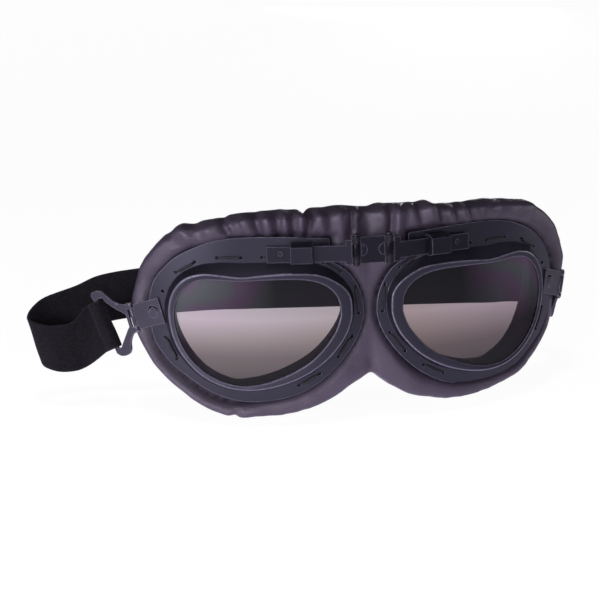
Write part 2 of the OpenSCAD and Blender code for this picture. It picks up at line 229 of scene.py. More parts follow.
# ------------------------------------------------------------------ mesh helpers
def link_object(name, mesh):
    ob = bpy.data.objects.new(name, mesh)
    bpy.context.scene.collection.objects.link(ob)
    return ob


def make(name, vertices, faces, material, sharp=None):
    """Smooth-shaded object from mm vertices; edges steeper than sharp degrees stay hard."""
    mesh = bpy.data.meshes.new(name)
    mesh.from_pydata([tuple(float(c) / 1000 for c in v) for v in vertices], [],
                     [tuple(int(i) for i in f) for f in faces])
    mesh.validate()
    ob = link_object(name, mesh)
    mesh.materials.append(material)
    mesh.polygons.foreach_set("use_smooth", [True] * len(mesh.polygons))
    if sharp:
        mesh.set_sharp_from_angle(angle=math.radians(sharp))
    mesh.update()
    return ob


def make_joined(name, parts, material):
    """One object from several (vertices, faces) parts."""
    vertices, faces = [], []
    for part_vertices, part_faces in parts:
        first = len(vertices)
        vertices += list(part_vertices)
        faces += [tuple(i + first for i in f) for f in part_faces]
    return make(name, vertices, faces, material)


def band_faces(a, b):
    """Quads between two closed rings of vertex numbers."""
    n = len(a)
    return [(a[i], a[(i + 1) % n], b[(i + 1) % n], b[i]) for i in range(n)]


def torus_faces(n, m):
    """n rings of m vertices, closed both ways."""
    return [(i * m + j, ((i + 1) % n) * m + j, ((i + 1) % n) * m + (j + 1) % m,
             i * m + (j + 1) % m) for i in range(n) for j in range(m)]


def tube_faces(n, m):
    """n rings of m vertices with a cap at each end."""
    faces = [(i * m + j, (i + 1) * m + j, (i + 1) * m + (j + 1) % m, i * m + (j + 1) % m)
             for i in range(n - 1) for j in range(m)]
    faces.append(tuple(range(m)))
    faces.append(tuple((n - 1) * m + j for j in reversed(range(m))))
    return faces


def fix_normals(ob):
    bm = bmesh.new()
    bm.from_mesh(ob.data)
    bmesh.ops.recalc_face_normals(bm, faces=bm.faces)
    bm.to_mesh(ob.data)
    bm.free()
    ob.data.update()


def add_attribute(mesh, name, values):
    attribute = mesh.attributes.new(name, "FLOAT", "POINT")
    attribute.data.foreach_set("value", np.asarray(values, np.float32))


# ------------------------------------------------------------------ shader graph helpers
class Value:
    """A shader node's output; arithmetic on it adds math nodes."""
    def __init__(self, graph, socket):
        self.graph = graph
        self.socket = socket

    def __add__(self, other): return self.graph.math("ADD", self, other)
    def __radd__(self, other): return self.graph.math("ADD", other, self)
    def __sub__(self, other): return self.graph.math("SUBTRACT", self, other)
    def __rsub__(self, other): return self.graph.math("SUBTRACT", other, self)
    def __mul__(self, other): return self.graph.math("MULTIPLY", self, other)
    def __truediv__(self, other): return self.graph.math("DIVIDE", self, other)


class Graph:
    """Builds a node tree; inputs may be Values, numbers or tuples."""
    def __init__(self, owner, output_kind="ShaderNodeOutputMaterial"):
        owner.use_nodes = True
        self.tree = owner.node_tree
        self.tree.nodes.clear()
        self.surface = self.tree.nodes.new(output_kind).inputs["Surface"]

    def feed(self, socket, value):
        if isinstance(value, Value):
            self.tree.links.new(value.socket, socket)
        elif isinstance(value, tuple):  # colours get an alpha of 1
            socket.default_value = value + (1,) * (len(socket.default_value) - len(value))
        else:
            socket.default_value = value

    def add(self, kind, inputs=None, output=0, **settings):
        node = self.tree.nodes.new("ShaderNode" + kind)
        for name, value in settings.items():
            setattr(node, name, value)
        for key, value in (inputs or {}).items():
            self.feed(node.inputs[key], value)
        return Value(self, node.outputs[output])

    def finish(self, shader):
        self.feed(self.surface, shader)

    def math(self, operation, *values):
        return self.add("Math", dict(enumerate(values)), operation=operation)

    def coords(self, kind="Object"):
        return self.add("TexCoord", output=kind)

    def split(self, vector):
        node = self.add("SeparateXYZ", {0: vector}).socket.node
        return [Value(self, socket) for socket in node.outputs]

    def stretch(self, vector, **transform):
        return self.add("Mapping", {"Vector": vector, **transform})

    def attribute(self, name):
        return self.add("Attribute", output="Fac", attribute_name=name)

    def noise(self, vector, scale, detail=3, roughness=.55, distortion=0.):
        return self.add("TexNoise", {"Vector": vector, "Scale": scale, "Detail": detail,
                                     "Roughness": roughness, "Distortion": distortion},
                        output="Fac")

    def cell_edges(self, vector, scale):
        return self.add("TexVoronoi", {"Vector": vector, "Scale": scale}, output="Distance",
                        feature="DISTANCE_TO_EDGE")

    def ramp(self, factor, stops):
        """stops are (position, RGB)."""
        color = self.add("ValToRGB", {0: factor})
        ramp = color.socket.node.color_ramp
        while len(ramp.elements) < len(stops):
            ramp.elements.new(.5)
        for element, (position, rgb) in zip(ramp.elements, stops):
            element.position = position
            element.color = (*rgb, 1)
        return color

    def remap(self, value, span, to=(0, 1)):
        return self.add("MapRange", {0: value, 1: span[0], 2: span[1], 3: to[0], 4: to[1]},
                        clamp=True)

    def mix(self, factor, a, b, blend="MIX"):
        return self.add("Mix", {0: factor, 6: a, 7: b}, output=2,
                        data_type="RGBA", blend_type=blend)

    def mix_shader(self, factor, a, b):
        return self.add("MixShader", {0: factor, 1: a, 2: b})

    def bump(self, height, strength, distance):
        return self.add("Bump", {"Strength": strength, "Distance": distance,
                                 "Height": height}, output="Normal")

    def principled(self, **inputs):
        """Input names are given with underscores for spaces."""
        inputs = {name.replace("_", " "): value for name, value in inputs.items()}
        self.finish(self.add("BsdfPrincipled", inputs))


def new_material(name):
    material = bpy.data.materials.new(name)
    return material, Graph(material)


def shade(color, factor):
    return tuple(c * factor for c in color)


# ------------------------------------------------------------------ materials
def paint_material(name, base, wear_and_highlight_color, rough, specular=.5, coat=.12, bevel_wear_and_highlight=1., pin_shade=None):
    """Black paint, its edges lighter by wear and a painted highlight; a pin's (x, y, radius)
    gives a matt disc of painted shade round it.
    """
    material, g = new_material(name)
    place = g.coords()
    patches = g.noise(place, scale=60)
    fine = g.noise(place, scale=900, detail=2)
    peel = g.noise(place, scale=2600, detail=2)
    color = g.mix(g.remap(patches, span=(.35, .65)), base, shade(base, 1.35))
    roughness = rough - .06 + fine * .12

    # wear and painted highlight where the rounded normal leaves the flat one and where the mesh
    # asks for it
    rounded = g.add("Bevel", {"Radius": .0006}, samples=4)
    flat = g.add("NewGeometry", output="True Normal")
    agreement = g.add("VectorMath", {0: rounded, 1: flat}, output="Value",
                      operation="DOT_PRODUCT")
    edge = g.remap(agreement, span=(.985, .86))
    wear = g.math("MAXIMUM", edge * bevel_wear_and_highlight, g.attribute("wear"))
    spots = g.noise(place, scale=700, detail=4, roughness=.7)
    wear = wear * g.remap(spots, span=(.36, .60), to=(.45, 1))
    color = g.mix(wear * .75, color, wear_and_highlight_color)
    roughness = roughness - wear * .08

    # painted shade: a dark matt disc round each bridge pin, where the hinge knuckles lie in shade
    if pin_shade:
        knuckle_x, knuckle_y, radius = pin_shade
        x, y, _ = g.split(place)
        dx = g.math("ABSOLUTE", x) - knuckle_x
        dy = y - knuckle_y
        distance = g.math("SQRT", dx * dx + dy * dy)
        disc = g.remap(distance, span=(radius * .85, radius * 1.05), to=(1, 0)) * .85
        color = g.mix(disc, color, (.003, .003, .0035))
        roughness = roughness + disc * .4
        specular = (1 - disc) * specular

    streaks = g.stretch(place, Scale=(1, 1, .04), Rotation=(.5, .4, .9))
    scratches = g.noise(streaks, scale=500, detail=1, roughness=.5)
    normal = g.bump(peel * .6 + scratches * .35, strength=.25, distance=.00006)
    g.principled(Base_Color=color, Roughness=roughness, Specular_IOR_Level=specular,
                 Specular_Tint=(.78, .80, 1, 1), Coat_Tint=(.85, .88, 1, 1),
                 Coat_Weight=coat, Coat_Roughness=.25, Normal=normal)
    return material


def leather_material():
    """Grained leatherette, darkened by a painted shadow along and under the plates' edges."""
    base, light = (.047, .038, .057), (.080, .064, .095)
    material, g = new_material("leatherette")
    place = g.coords()
    patches = g.noise(place, scale=28, detail=4, roughness=.6)
    mottle = g.noise(place, scale=160)
    grain = g.cell_edges(place, scale=1500)
    coarse_grain = g.cell_edges(place, scale=620)
    color = g.mix(g.remap(patches, span=(.3, .7)), base, light)
    color = g.mix(g.remap(grain, span=(0, .12), to=(.45, 0)), color, shade(base, .45))
    # painted shadow along and under the plates' edges: darker, duller and with weaker highlights
    crease = g.attribute("crease")
    color = g.mix(crease * .85, color, (.004, .0035, .005))
    roughness = .36 - .07 + (mottle * .16 + crease * .3)
    height = g.remap(grain, span=(0, .18)) * .6 + g.remap(coarse_grain, span=(0, .1)) * .35
    wrinkles = g.noise(place, scale=240, detail=4, roughness=.6, distortion=.4)
    height = height + wrinkles * 1.3
    g.principled(Base_Color=color, Roughness=roughness,
                 Specular_IOR_Level=.56 - crease * .44, Sheen_Weight=.05,
                 Sheen_Roughness=.4, Sheen_Tint=(.85, .8, .9),
                 Normal=g.bump(height, strength=.42, distance=.00016))
    return material


def lining_material():
    """Brushed fabric."""
    base = (.018, .0165, .020)
    material, g = new_material("brushed_lining")
    place = g.coords()
    nap = g.noise(place, scale=1400, detail=4, roughness=.7)
    patches = g.noise(place, scale=90)
    color = g.mix(g.remap(patches, span=(.35, .65)), base, shade(base, 1.5))
    g.principled(Base_Color=color, Roughness=.92, Specular_IOR_Level=.2, Sheen_Weight=.10,
                 Sheen_Roughness=.5, Sheen_Tint=(.8, .75, .85),
                 Normal=g.bump(nap, strength=.7, distance=.0003))
    return material


def elastic_material():
    """Woven elastic. Its UV is in mm: u across the band, v along it."""
    base, light = (.0034, .003, .0042), (.016, .014, .019)
    rib_pitch, row_pitch = .62, .5
    material, g = new_material("woven_elastic")
    uv = g.add("UVMap")
    u, v, _ = g.split(uv)
    ribs = g.math("SINE", u * (2 * math.pi / rib_pitch))
    # every other rib is half a row out of step
    rib_number = g.math("FLOOR", u / rib_pitch)
    rows = g.math("SINE", v * (2 * math.pi / row_pitch) + rib_number * math.pi)
    weave = ribs * .6 + rows * .4
    blotches = g.noise(g.stretch(uv, Scale=(1.2, .35, 1)), scale=1.1, detail=4, roughness=.65)
    fuzz = g.noise(uv, scale=5, roughness=.7)
    selvedge = g.remap(g.math("ABSOLUTE", u), span=(9.6, 10.6))
    color = g.mix(g.remap(weave, span=(-.6, .8)), shade(base, .55), base)
    color = g.mix(g.remap(blotches, span=(.46, .72), to=(0, .6)), color, light)
    color = g.mix(selvedge * .35, color, light)
    g.principled(Base_Color=color, Roughness=.88, Specular_IOR_Level=.2, Sheen_Weight=.07,
                 Sheen_Roughness=.55, Sheen_Tint=(.8, .76, .88),
                 Normal=g.bump(weave * .5 + fuzz * .5, strength=.6, distance=.00022))
    return material


def lens_material():
    """Smoke lens: a tint by place carrying painted shade, and a painted coloured reflection in
    the upper outer corners.
    """
    # painted shade by height: darkest towards the bottom as a painted shadow, darker again near
    # the top
    painted_shadow_by_height = [
        (0, (.33, .305, .315)), (.10, (.385, .355, .36)), (.20, (.425, .385, .395)),
        (.40, (.60, .55, .56)), (.57, (.735, .68, .715)), (.78, (.66, .64, .66)),
        (1, (.55, .55, .57))]
    # painted shade across the lenses: darker towards the right lens
    painted_shade_across = [
        (0, (1., 1., 1.)), (.22, (.95, .94, .95)), (.42, (.88, .87, .86)),
        (.58, (.79, .755, .735)), (.78, (.79, .755, .78)), (1, (.84, .80, .84))]
    painted_shade_at_end = [
        (0, (1, 1, 1)), (.35, (.9, .88, .92)), (.6, (.10, .10, .11)), (1, (.05, .05, .055))]
    painted_reflection_colors = [
        (0, (.82, .86, .84)), (.45, (.62, .95, .72)), (.68, (1.0, .55, .95)),
        (.85, (.60, .98, .72)), (1, (1.0, .62, .9))]
    material, g = new_material("smoke_lens")
    place = g.coords()
    x, _, z = g.split(place)
    tint = g.ramp(g.remap(z, span=(-.026, .018)), painted_shadow_by_height)
    across = g.ramp(g.remap(x, span=(-.080, .080)), painted_shade_across)
    tint = g.mix(1.0, tint, across, blend="MULTIPLY")
    # painted shade at each lens's outer end, where the inner wall beside it lies in shade; it
    # starts 4.5 mm farther out on the left lens
    end = g.math("ABSOLUTE", x) - g.math("LESS_THAN", x, 0) * .0045
    end_shade = g.ramp(g.remap(end, span=(.0735, .0785)), painted_shade_at_end)
    tint = g.mix(1.0, tint, end_shade, blend="MULTIPLY")

    # painted reflection: the upper outer corners get a coloured gloss, a coloured haze and a
    # little more reflection
    out = g.math("ABSOLUTE", x)
    corner = g.remap(out, span=(.040, .078)) * g.remap(z, span=(-.012, .014))
    phase = (g.remap(out, span=(.030, .082), to=(0, .8))
             + g.remap(z, span=(-.010, .022), to=(-.12, .30))
             + (g.noise(place, scale=38) - .35) * .75)
    painted_reflection = g.ramp(phase, painted_reflection_colors)
    gloss_color = g.mix(corner * .95, (.8, .82, .82), painted_reflection)
    clear = g.add("BsdfTransparent", {"Color": tint})
    gloss = g.add("BsdfGlossy", {"Color": gloss_color, "Roughness": .06})
    haze_and_painted_reflection = g.add("BsdfDiffuse", {"Color": g.mix(.35, painted_reflection, (.9, .7, 1.0))})
    gloss_share = g.add("Fresnel", {"IOR": 1.5}) * .42 + corner * .05
    # the back face reflects little
    gloss_share = gloss_share * (1 - g.add("NewGeometry", output="Backfacing") * .85)
    body = g.mix_shader(.010 + corner * .085, clear, haze_and_painted_reflection)
    g.finish(g.mix_shader(gloss_share, body, gloss))
    return material


def grainy_material(name, base, rough, scale, strength=.5, distance=.0001, **more):
    """One colour with a fine noise relief."""
    material, g = new_material(name)
    place = g.coords()
    grain = g.noise(place, scale=scale, roughness=.6)
    patches = g.noise(place, scale=scale * .08)
    color = g.mix(g.remap(patches, span=(.35, .65)), base, shade(base, 1.4))
    g.principled(Base_Color=color, Roughness=rough - .05 + grain * .1,
                 Normal=g.bump(grain, strength=strength, distance=distance), **more)
    return material


pin_low, pin_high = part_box("right_bridge_pin")
# place and size of the painted shade disc round each bridge pin
PIN_SHADE_DISC = ((pin_low[0] + pin_high[0]) / 2, (pin_low[1] + pin_high[1]) / 2, .0017)

# the worn colours give edge wear and a painted highlight on the rounded edges
PLATE_PAINT = paint_material("black_paint_plate", base=(.010, .0095, .013),
                             wear_and_highlight_color=(.24, .225, .29), rough=.36, bevel_wear_and_highlight=.0)
RIM_PAINT = paint_material("black_paint_rim", base=(.010, .0095, .013),
                           wear_and_highlight_color=(.30, .275, .34), rough=.32, coat=.2, bevel_wear_and_highlight=0.)
PART_PAINT = paint_material("black_paint_part", base=(.007, .0065, .0095),
                            wear_and_highlight_color=(.22, .205, .26), rough=.36, specular=.28, pin_shade=PIN_SHADE_DISC)
# painted light: the same black paint made lighter for the side tabs and buckles, which face the
# lamps
LIGHTER_TAB_PAINT = paint_material("black_paint_tab_painted_light", base=(.026, .024, .031),
                           wear_and_highlight_color=(.31, .29, .35), rough=.33)
STEEL = paint_material("hinge_steel_dark", base=(.035, .032, .040),
                       wear_and_highlight_color=(.5, .48, .52), rough=.30)
LEATHER = leather_material()
LINING = lining_material()
ELASTIC = elastic_material()
THREAD = grainy_material("waxed_thread", base=(.007, .0065, .0085), rough=.6, scale=3000,
                         strength=.6, Sheen_Weight=.06)
LENS = lens_material()
RUBBER = grainy_material("seal_rubber", base=(.008, .008, .009), rough=.6, scale=1500)
# a dark, matt pin
PIN = grainy_material("dark_pin", base=(.007, .0065, .008), rough=.5, scale=1800,
                      strength=.3, distance=.00005)
SLIDE = grainy_material("slide_plastic", base=(.014, .013, .016), rough=.45, scale=2200,
                        strength=.35, distance=.00006)
# in the file's material list only; no piece wears it
grainy_material("foam", base=(.25, .24, .22), rough=.95, scale=1200, strength=.9,
                distance=.0004)


# ------------------------------------------------------------------ CAD pieces that stay
def keep(node, material, width=None, segments=2, angle=28):
    """Give a CAD piece its material and, with a width in mm, rounded edges."""
    ob = NODES[node]
    ob.data.materials.clear()
    ob.data.materials.append(material)
    if width:
        weld = ob.modifiers.new("weld", "WELD")
        weld.merge_threshold = 1e-6
        bevel = ob.modifiers.new("bevel", "BEVEL")
        bevel.width = width / 1000
        bevel.segments = segments
        bevel.limit_method = "ANGLE"
        bevel.angle_limit = math.radians(angle)
        bevel.harden_normals = True
        bevel.use_clamp_overlap = True
        bevel.miter_outer = "MITER_ARC"


for _, name in SIDES:
    keep(f"{name}_slide_clip", PART_PAINT, width=.28, segments=3)
    keep(f"{name}_bridge_arm", PART_PAINT, width=.16, angle=40)
    keep(f"{name}_bridge_pin", PIN, width=.22, segments=3, angle=40)
    keep(f"{name}_side_tab", LIGHTER_TAB_PAINT, width=.16, angle=40)
    keep(f"{name}_hinge_pin", STEEL, width=.18, angle=40)
    keep(f"{name}_buckle", LIGHTER_TAB_PAINT, width=.28, segments=3, angle=40)
    keep(f"{name}_lens", LENS)
    keep(f"{name}_lens_gasket", RUBBER)
keep("bridge_link", PART_PAINT, width=.16, angle=40)
keep("strap_adjuster", SLIDE, width=.45, segments=3)

# ------------------------------------------------------------------ base plates
# Pressed sheet whose edges are rounded at the outline, the eye opening, the slot and the holes.
HOLE_R, HOLE_INSET_R = .75, .87          # thread hole, and where its rounding starts
EXTRA_HOLES = ((27.5, 25), (84.4, 9.6))
SLOT_HALF_W, SLOT_HALF_H = .7, 5.9
SLOT_ACROSS, SLOT_UP = np.array([.7231, -.2924]), np.array([.2211, .9563])
GRID_X, GRID_Z, GRID_GAP = 1.7, 1.9, .75  # spacing of the inner points, gap to any edge
# share of the way from inset to true edge, radius, normal's part towards the front,
# normal's part towards the edge, wear and painted highlight
EDGE_RINGS = ((.2, PLATE_R + .05, .99, -.10, .4), (.55, PLATE_R + .05, .88, .47, 1.),
              (.85, PLATE_R - .03, .55, .83, 1.), (1, PLATE_R - .20, .2, .98, .5),
              (1, BACK_R + .16, -.3, .95, 0.))


def circle(centre, radius, count=20):
    angles = -np.linspace(0, 2 * math.pi, count, endpoint=False)
    return np.stack([centre[0] + radius * np.cos(angles), centre[1] + radius * np.sin(angles)], 1)


def plate_loops():
    """True edge loops, outline first, and the same loops drawn back into the sheet."""
    outline = resample(np.vstack([PLATE_EDGE, [[16.7, 26.2], [16.7, 29.5]]]), 440)
    outline = blur_rows(outline, 1.3)
    opening = resample(grow(RIM_INNER, .4), 260)
    slot = np.array([np.array([SLOT_X, SLOT_Z]) + i * SLOT_HALF_W * SLOT_ACROSS
                     + j * SLOT_HALF_H * SLOT_UP
                     for i, j in ((-1, -1), (-1, 1), (1, 1), (1, -1))])
    slot = resample(slot, 40)
    centres = [point for pair in STITCHES for point in pair] + list(EXTRA_HOLES)
    holes = [circle(centre, HOLE_R) for centre in centres]
    insets = [grow(outline, -.32), grow(opening, .2), grow(slot, .1)]
    for hole in holes:
        middle = hole.mean(0)
        insets.append(middle + (hole - middle) * (HOLE_INSET_R / HOLE_R))
    return [outline, opening, slot] + holes, insets


def fill_sheet(loops, insets):
    """Triangles between the inset loops: points, faces, and where each loop point went."""
    points, edges = [], []
    for loop in insets:
        first, count = len(points), len(loop)
        points += [tuple(p) for p in loop]
        edges += [(first + i, first + (i + 1) % count) for i in range(count)]
    x, z = np.meshgrid(np.arange(3, 91, GRID_X), np.arange(-38, 36, GRID_Z))
    odd_row = np.arange(x.size) // x.shape[1] % 2
    grid = np.stack([x.ravel() + odd_row * (GRID_X / 2), z.ravel()], 1)
    free = inside(grid, loops[0])
    for loop in loops[1:]:
        free &= ~inside(grid, loop)
    for loop in insets:
        free &= nearest_on(grid, loop)[0] > GRID_GAP
    points += [tuple(p) for p in grid[free]]
    out_points, _, triangles, sources, _, _ = delaunay_2d_cdt(
        [Vector(p) for p in points], edges, [], 0, 1e-5)
    flat = np.array([(p.x, p.y) for p in out_points])
    went_to = {source: i for i, group in enumerate(sources) for source in group}
    centres = np.array([flat[list(f)].mean(0) for f in triangles])
    solid = inside(centres, insets[0])
    for loop in insets[1:]:
        solid &= ~inside(centres, loop)
    return flat, [tuple(f) for f, is_solid in zip(triangles, solid) if is_solid], went_to


def base_plate(side, name):
    loops, insets = plate_loops()
    flat, front_faces, went_to = fill_sheet(loops, insets)
    count = len(flat)

    def lift(points, radius):
        return [on_arc(side, p[0], p[1], radius) for p in points]

    def front_normal(x):
        sine = (x - ARC_X) / ARC_Y
        return np.array([side * sine, -math.sqrt(max(1 - sine ** 2, 0)), 0.])

    vertices = lift(flat, PLATE_R) + lift(flat, BACK_R)
    normals = [front_normal(p[0]) for p in flat] + [-front_normal(p[0]) for p in flat]
    # wear and painted highlight along the sheet's rounded edges
    wear = [0.] * len(vertices)
    faces = front_faces + [tuple(i + count for i in f[::-1]) for f in front_faces]
    first = 0
    for loop, inset in zip(loops, insets):
        size = len(inset)
        front_ring = [went_to[first + i] for i in range(size)]
        first += size
        rings = [front_ring]
        outwards = loop - inset
        outwards = outwards / np.maximum(np.linalg.norm(outwards, axis=1), 1e-9)[:, None]
        for share, radius, to_front, to_edge, ring_wear_and_highlight in EDGE_RINGS:
            rings.append(list(range(len(vertices), len(vertices) + size)))
            vertices += lift(inset + (loop - inset) * share, radius)
            for p, out in zip(inset, outwards):
                normal = (to_front * front_normal(p[0])
                          + to_edge * np.array([side * out[0], 0, out[1]]))
                normals.append(normal / np.linalg.norm(normal))
                wear.append(ring_wear_and_highlight)
        rings.append([i + count for i in front_ring])
        for a, b in zip(rings[:-1], rings[1:]):
            faces += band_faces(a, b)
    ob = make(f"{name}_plate_sheet", vertices, faces, PLATE_PAINT)
    fix_normals(ob)
    ob.data.normals_split_custom_set_from_vertices([tuple(map(float, n)) for n in normals])
    add_attribute(ob.data, "wear", wear)
    return ob


for side, name in SIDES:
    plate = base_plate(side, name)
    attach(plate, f"{name}_eye")
    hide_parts(f"{name}_base_plate")


# ------------------------------------------------------------------ lens rims
def ray_lengths(curve, directions, target):
    """Distance from each point of curve to the target loop, blurred along the curve."""
    edges = np.roll(target, -1, 0) - target
    lengths = np.full(len(curve), np.nan)
    for i, (point, ray) in enumerate(zip(curve, directions)):
        cross = ray[0] * edges[:, 1] - ray[1] * edges[:, 0]
        cross[np.abs(cross) < 1e-12] = 1e-12
        gap = target - point
        on_ray = (gap[:, 0] * edges[:, 1] - gap[:, 1] * edges[:, 0]) / cross
        on_edge = (gap[:, 0] * ray[1] - gap[:, 1] * ray[0]) / cross
        hit = (on_edge >= 0) & (on_edge <= 1) & (on_ray > -.2)
        if hit.any():
            lengths[i] = on_ray[hit].min()
    return blur(np.where(np.isnan(lengths), np.nanmedian(lengths), lengths), 3)


def rim_profile(inner, foot):
    """Section of the rim: distance out from its outer line, height above the plate, wear and
    painted highlight.
    """
    top, ledge = RIM_H, RIM_H - LIP
    low, high = np.array([foot - .10, .16]), np.array([-.02, top - .52])
    profile = [(foot + .10, .0, 0), (foot + .02, .10, .35)]
    for t in (0., .04, .25, .5, .75, .94, 1.0):  # flank from the plate up, slightly full
        out, height = low + (high - low) * t
        profile.append((out, height + .10 * math.sin(math.pi * t), 0))
    return profile + [
        # rounded outer edge, lighter as wear and painted highlight
        (-.05, top - .34, .5), (-.16, top - .17, 1), (-.34, top - .05, 1), (-.60, top, .35),
        # front
        (-.95, top + .01, 0), (-inner * .5, top - .05, 0), (-inner + .75, top - .12, 0),
        # rounded inner edge
        (-inner + .38, top - .17, .25), (-inner + .18, top - .27, .6),
        (-inner + .05, top - .45, .3),
        # lens ledge, and the underside back to the foot
        (-inner, ledge, 0), (-inner + .02, ledge - .12, 0), (-inner + 1.25, ledge - .02, 0),
        (-inner + 1.25, .02, 0), (-inner + .8, .02, 0), (foot * .5 - .5, .015, 0)]


def lens_rim(side, name):
    count = 360
    curve = resample(RIM_OUTER, count)
    normals = unit_rows(blur_rows(outward(curve), 3))
    inner_widths = ray_lengths(curve, -normals, RIM_INNER)
    foot_widths = ray_lengths(curve, normals, RIM_FOOT)
    vertices, wear = [], []
    for point, normal, inner, foot in zip(curve, normals, inner_widths, foot_widths):
        profile = rim_profile(inner, foot)
        for out, height, point_wear_and_highlight in profile:
            x, z = point + normal * out
            vertices.append(on_arc(side, x, z, PLATE_R + height))
            wear.append(point_wear_and_highlight)
    ob = make(f"{name}_rim_shell", vertices, torus_faces(count, len(profile)), RIM_PAINT,
              sharp=60)
    fix_normals(ob)
    add_attribute(ob.data, "wear", wear)
    return ob


for side, name in SIDES:
    rim = lens_rim(side, name)
    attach(rim, f"{name}_eye")
    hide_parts(f"{name}_lens_rim")

# ------------------------------------------------------------------ sewing thread
THREAD_R, PLY_PITCH = .34, 1.5
HOLE_SHADE_R, HOLE_SHADE_DEPTHS = .74, (.62, .95)    # painted shade disc in each thread hole, behind the plate's front surface
STRANDS = ((.26, 0.), (-.30, .12))       # each strand's sideways bow and extra lift


def cord(points):
    """Two-ply cord along the points, as (vertices, faces)."""
    ring = 12
    P = np.array(points, float)
    tangents = unit_rows(np.gradient(P, axis=0))
    u = np.cross(tangents[0], [0, 0, 1.])
    if np.linalg.norm(u) < .1:
        u = np.cross(tangents[0], [1., 0, 0])
    vertices, length = [], 0
    for i, (point, tangent) in enumerate(zip(P, tangents)):
        if i:
            length += np.linalg.norm(point - P[i - 1])
        u = u - tangent * (u @ tangent)
        u /= np.linalg.norm(u)
        v = np.cross(tangent, u)
        for k in range(ring):
            angle = 2 * math.pi * k / ring
            twist = abs(math.cos(angle - math.pi * length / PLY_PITCH))
            radius = THREAD_R * (.80 + .26 * twist)
            vertices.append(point + radius * (math.cos(angle) * u + math.sin(angle) * v))
    return vertices, tube_faces(len(P), ring)


def strand(side, number, start, end, bow, lift):
    """One strand between two holes; it dives into each and bows a little over the sheet."""
    count, end_gap = 34, .3
    length = np.linalg.norm(end - start)
    along = (end - start) / length
    across = np.array([-along[1], along[0]])
    points = []
    for t in np.linspace(0, 1, count):
        from_end = min(t, 1 - t) * count / 4
        height = -.9 + (1.35 + lift) * math.sin(min(from_end, 1) * math.pi / 2)
        sideways = bow * math.sin(math.pi * t) + .07 * math.sin(t * 9 + number)
        x, z = start + along * (end_gap + (length - 2 * end_gap) * t) + across * sideways
        points.append(on_arc(side, x, z, PLATE_R + height))
    return cord(resample(np.array(points), 46, loop=False))


def hole_shade_plug(side, centre):
    """Small dark disc that fills a thread hole: painted shade that also stands for the thread; as
    (vertices, faces).
    """
    n = 16
    vertices = []
    for depth in HOLE_SHADE_DEPTHS:
        for angle in np.linspace(0, 2 * math.pi, n, endpoint=False):
            x = centre[0] + HOLE_SHADE_R * math.cos(angle)
            vertices.append((side * x, arc_y(x, PLATE_R) + depth,
                             centre[1] + HOLE_SHADE_R * math.sin(angle)))
    faces = [tuple(range(n)), tuple(range(2 * n - 1, n - 1, -1))]
    faces += [(i, (i + 1) % n, n + (i + 1) % n, n + i) for i in range(n)]
    return vertices, faces


for side, name in SIDES:
    strands, hole_shade_plugs = [], []
    for number, pair in enumerate(STITCHES):
        start, end = np.array(pair)
        strands += [strand(side, number, start, end, bow, lift) for bow, lift in STRANDS]
        hole_shade_plugs += [hole_shade_plug(side, start), hole_shade_plug(side, end)]
    thread = make_joined(f"{name}_thread", strands, THREAD)
    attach(thread, f"{name}_eye")
    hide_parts(f"{name}_stitching")
    # dark plugs in the thread holes: painted shade of the deep holes
    shade_plugs = make_joined(f"{name}_thread_hole_shade", hole_shade_plugs, RUBBER)
    fix_normals(shade_plugs)
    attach(shade_plugs, f"{name}_eye")

# ------------------------------------------------------------------ strap
STRAP_W = 2 * STRAP_HALF
STRAP_SLOPE = math.radians(3)            # tilt of the straight run behind
BAR_LOOP_R = 1.95                        # middle of the band round the buckle bar


def rear_run(*places):
    """Stations of the straight run behind, at the given x."""
    return [[x, 58, -x * math.tan(STRAP_SLOPE),
             STRAP_W * math.sin(STRAP_SLOPE), 0, STRAP_W * math.cos(STRAP_SLOPE)]
            for x in places]


# Stations from beside the buckle to the middle of the back.
# Columns: centre x, y, z, then a vector across the band's width.
STRAP_PATHS = {
    "left": [
        [-119.6, 53.4, -17.2, -4.8, 0, 22], [-125.3, 54.2, -19.1, -3.9, 0, 22],
        [-132.9, 57, -19.2, -4, 0, 22], [-139.2, 63.5, -16.6, -5.1, 0, 21.7],
        [-131.9, 70, -10.3, -7, 0, 20.4], [-117.6, 69, -5.4, -4.8, 0, 21.3],
        [-107.9, 66.3, -0.9, -1.7, 0, 21.6], [-92, 62, 1.8, -0.6, 0, 21.9],
        [-73.2, 58.8, 3, 0.9, 0, 22]] + rear_run(-58, -46, -30, -15, 0),
    "right": [
        [100.6, 65.6, -9.6, 7, 2, 20], [100.4, 69.2, -10, 6, 1, 20.5],
        [97.4, 71.6, -9.4, 4, 0, 21.5], [91, 70, -8, 2, 0, 22], [82, 65.6, -6, 1, 0, 22],
        [70, 60.4, -4.4, .9, 0, 22]] + rear_run(58, 46, 30, 15, 0)}
# x of the cuts before bend_a, bend_b and rear
STRAP_CUTS = {"left": (-92, -70, -30), "right": (84, 70, 36)}
STRAP_PIECES = ("fold", "link", "loop", "bend_a", "bend_b", "rear")


def bar_matrix(side):
    """Frame of the buckle bar, reached through the plate's slot, the tab and the hinge."""
    turn = math.asin((SLOT_X - ARC_X) / PLATE_R)
    fold = RIGHT_FOLD if side > 0 else 0
    matrix = (Matrix.Translation((SLOT_X, float(arc_y(SLOT_X, PLATE_R)), SLOT_Z))
              @ Matrix.Rotation(turn, 4, 'Z') @ Matrix.Rotation(math.radians(DROOP), 4, 'Y'))
    matrix = (matrix @ Matrix.Translation((TAB_L, -0.6, 0))
              @ Matrix.Rotation(math.radians(fold), 4, 'Z'))
    if side < 0:
        matrix = Matrix.Scale(-1, 4, (1, 0, 0)) @ matrix
    return (matrix @ Matrix.Translation((15.75, 0, -0.15))
            @ Matrix.Rotation(math.radians(BAR_LEAN), 4, 'Y'))


